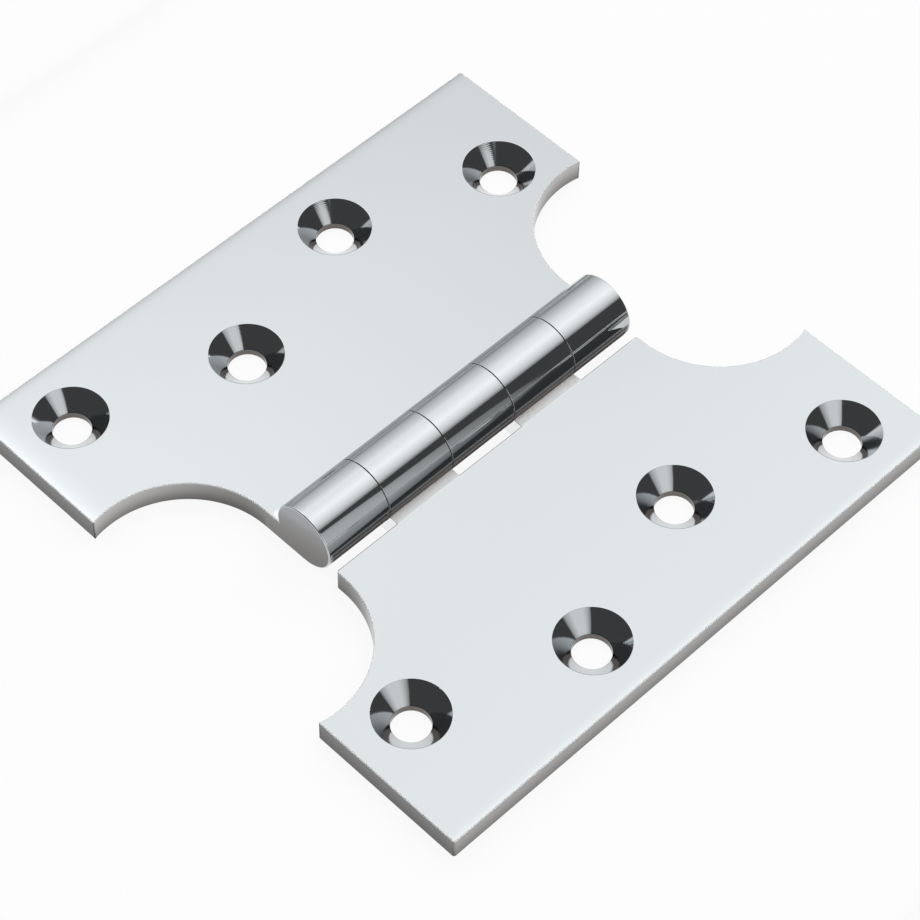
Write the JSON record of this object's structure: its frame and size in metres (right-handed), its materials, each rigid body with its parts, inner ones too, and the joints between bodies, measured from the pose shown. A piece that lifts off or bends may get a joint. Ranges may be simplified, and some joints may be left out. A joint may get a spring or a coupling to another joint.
{
  "type": "parliament hinge",
  "caption": "Wide flat hinge with thick mirror-polished leaves, scalloped beside the barrel, that carries a door clear of its frame so it folds back flat.",
  "frame": {"origin": "under the middle of the pin, on the plane of the leaves' backs", "axes": "+X across the leaves towards the door leaf, +Y along the pin, +Z out of the countersunk faces"},
  "size_m": [0.1018, 0.102, 0.011],
  "materials": {
    "leaf_chrome": "mirror polished",
    "pin_chrome": "mirror polished ends"
  },
  "bodies": {
    "frame_side": {"frame_leaf": "leaf_chrome", "hinge_pin": "pin_chrome"},
    "door_side": {"door_leaf": "leaf_chrome"}
  },
  "joints": [
    {"name": "leaf_swing", "type": "hinge", "parent": "frame_side", "child": "door_side", "pos_m": [0, 0, 0.0055], "axis": [0, -1, 0], "range_deg": [0, 180]}
  ]
}
